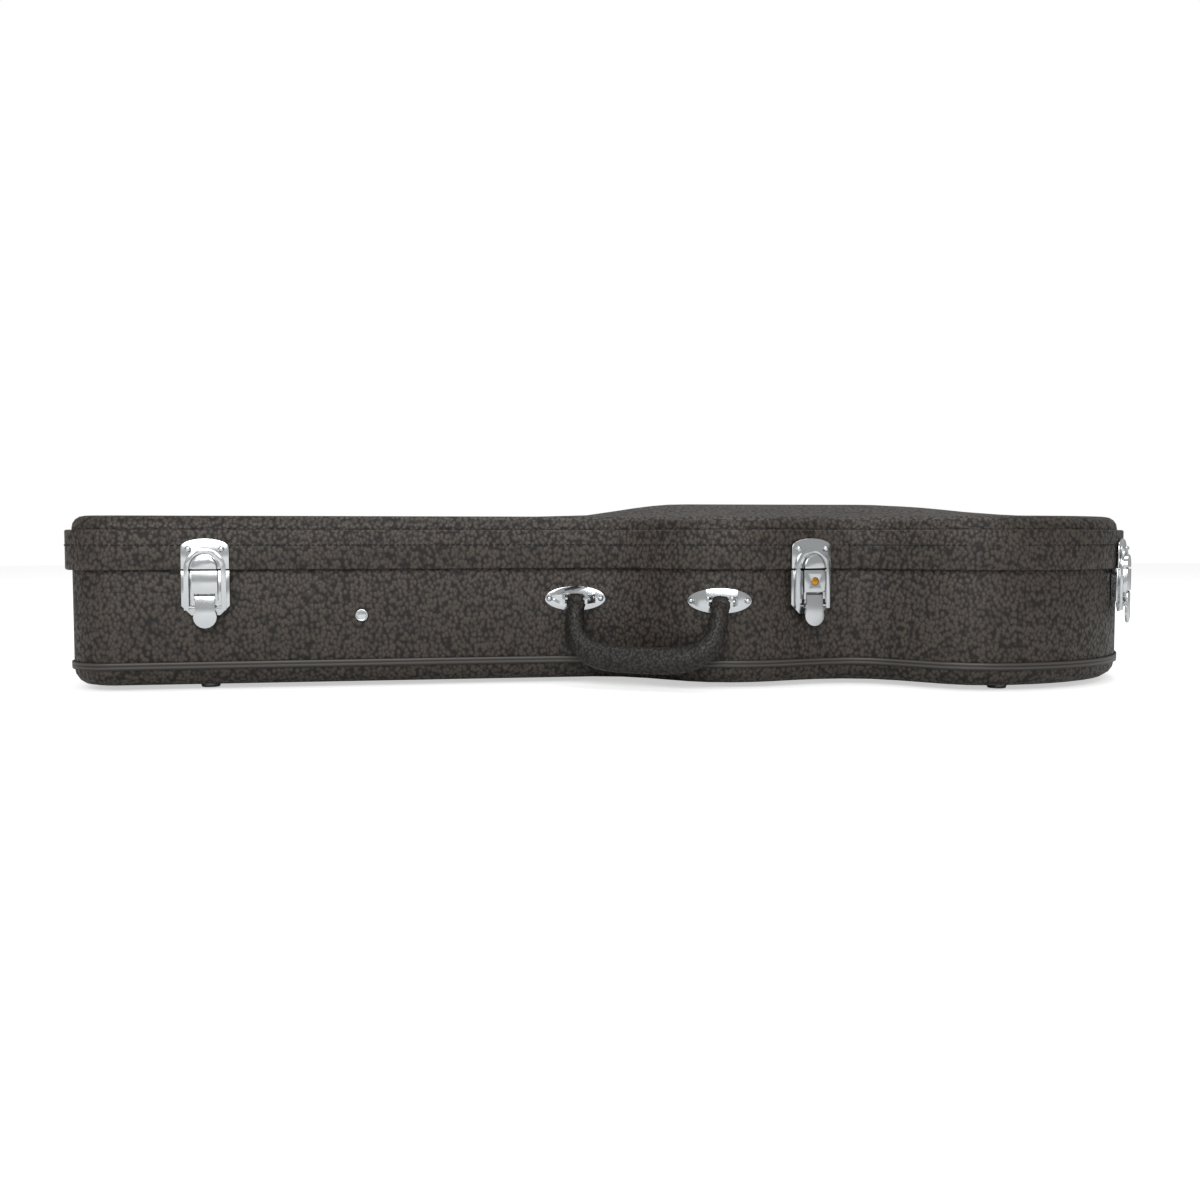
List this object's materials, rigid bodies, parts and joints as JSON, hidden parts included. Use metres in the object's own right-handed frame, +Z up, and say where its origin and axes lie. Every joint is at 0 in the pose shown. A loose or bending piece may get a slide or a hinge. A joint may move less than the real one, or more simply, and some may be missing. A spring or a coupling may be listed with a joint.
{
  "type": "baritone ukulele case",
  "caption": "Shaped hard case for a baritone ukulele: domed hinged lid with a valance, draw latches, a key lock, a handle, feet and a padded inside.",
  "frame": {"origin": "on the surface that the feet stand on, under the middle of the case's box", "axes": "+X toward the tail along the length, -Y toward the latches and the handle, +Z up"},
  "size_m": [0.845, 0.3128, 0.1425],
  "materials": {
    "leatherette": "pebbled black-brown leatherette over bent plywood",
    "binding": "ribbed strip",
    "chrome": "plated steel",
    "brass": "bright brass",
    "plush": "short plush over foam"
  },
  "bodies": {
    "base": {"accessory_box": "plush", "base_binding": "binding", "base_bottom_panel": "leatherette", "base_floor_pad": "plush", "base_side_pad": "plush", "base_side_wall": "leatherette", "compartment_rivet": "chrome", "foot_head_back": "chrome", "foot_head_front": "chrome", "foot_tail_back": "chrome", "foot_tail_front": "chrome", "head_hinge_base_leaf": "chrome", "head_hinge_pin": "chrome", "head_latch_base": "chrome", "head_pivot_pin": "chrome", "left_bracket_rivet_inner": "chrome", "left_bracket_rivet_outer": "chrome", "left_handle_bracket": "chrome", "lower_hinge_base_leaf": "chrome", "lower_hinge_pin": "chrome", "neck_cradle": "plush", "right_bracket_rivet_inner": "chrome", "right_bracket_rivet_outer": "chrome", "right_handle_bracket": "chrome", "tail_latch_base": "chrome", "tail_pivot_pin": "chrome", "upper_hinge_base_leaf": "chrome", "upper_hinge_pin": "chrome", "waist_latch_base": "chrome", "waist_pivot_pin": "chrome"},
    "lid": {"head_catch_plate": "chrome", "head_catch_rivet_left": "chrome", "head_catch_rivet_right": "chrome", "head_hinge_lid_leaf": "chrome", "lid_pad": "plush", "lid_side_wall": "leatherette", "lid_top_panel": "leatherette", "lid_valance": "leatherette", "lower_hinge_lid_leaf": "chrome", "tail_catch_plate": "chrome", "tail_catch_rivet_left": "chrome", "tail_catch_rivet_right": "chrome", "upper_hinge_lid_leaf": "chrome", "waist_catch_plate": "chrome", "waist_catch_rivet_left": "chrome", "waist_catch_rivet_right": "chrome"},
    "handle": {"handle_grip": "leatherette", "left_handle_axle": "chrome", "right_handle_axle": "chrome"},
    "accessory_cover": {"accessory_lid": "plush"},
    "lock": {"lock_cylinder": "brass"},
    "head_lever": {"head_lever": "chrome"},
    "head_bail": {"head_bail": "chrome"},
    "waist_lever": {"waist_lever": "chrome"},
    "waist_bail": {"waist_bail": "chrome"},
    "tail_lever": {"tail_lever": "chrome"},
    "tail_bail": {"tail_bail": "chrome"}
  },
  "joints": [
    {"name": "lid_hinge", "type": "hinge", "parent": "base", "child": "lid", "pos_m": [0.00053, 0.13221, 0.0876], "axis": [-0.9958, -0.0918, 0], "range_deg": [0, 100]},
    {"name": "handle_swing", "type": "hinge", "parent": "base", "child": "handle", "pos_m": [0.01573, -0.1009, 0.067], "axis": [-0.9097, 0.4153, 0], "range_deg": [0, 120]},
    {"name": "accessory_lid_hinge", "type": "hinge", "parent": "base", "child": "accessory_cover", "pos_m": [-0.16147, -0.0014, 0.0655], "axis": [0, 1, 0], "range_deg": [0, 30]},
    {"name": "lock_turn", "type": "hinge", "parent": "base", "child": "lock", "pos_m": [0.1421, -0.11554, 0.0815], "axis": [0.2808, -0.9598, 0], "range_deg": [0, 90]},
    {"name": "head_lever_lift", "type": "hinge", "parent": "base", "child": "head_lever", "pos_m": [-0.31264, -0.09445, 0.07], "axis": [-0.9956, -0.0939, 0], "range_deg": [0, 98]},
    {"name": "head_bail_swing", "type": "hinge", "parent": "head_lever", "child": "head_bail", "pos_m": [-0.31272, -0.09355, 0.063], "axis": [-0.9956, -0.0939, 0], "range_deg": [-113, 0]},
    {"name": "waist_lever_lift", "type": "hinge", "parent": "base", "child": "waist_lever", "pos_m": [0.14137, -0.11305, 0.07], "axis": [-0.9598, -0.2808, 0], "range_deg": [0, 98]},
    {"name": "waist_bail_swing", "type": "hinge", "parent": "waist_lever", "child": "waist_bail", "pos_m": [0.14112, -0.11218, 0.063], "axis": [-0.9598, -0.2808, 0], "range_deg": [-113, 0]},
    {"name": "tail_lever_lift", "type": "hinge", "parent": "base", "child": "tail_lever", "pos_m": [0.39559, -0.10224, 0.07], "axis": [-0.6082, -0.7938, 0], "range_deg": [0, 98]},
    {"name": "tail_bail_swing", "type": "hinge", "parent": "tail_lever", "child": "tail_bail", "pos_m": [0.39488, -0.10169, 0.063], "axis": [-0.6082, -0.7938, 0], "range_deg": [-113, 0]}
  ],
  "couplings": [
    {"joint": "head_bail_swing", "follows": "head_lever_lift", "ratio": -1.15},
    {"joint": "waist_bail_swing", "follows": "waist_lever_lift", "ratio": -1.15},
    {"joint": "tail_bail_swing", "follows": "tail_lever_lift", "ratio": -1.15}
  ]
}
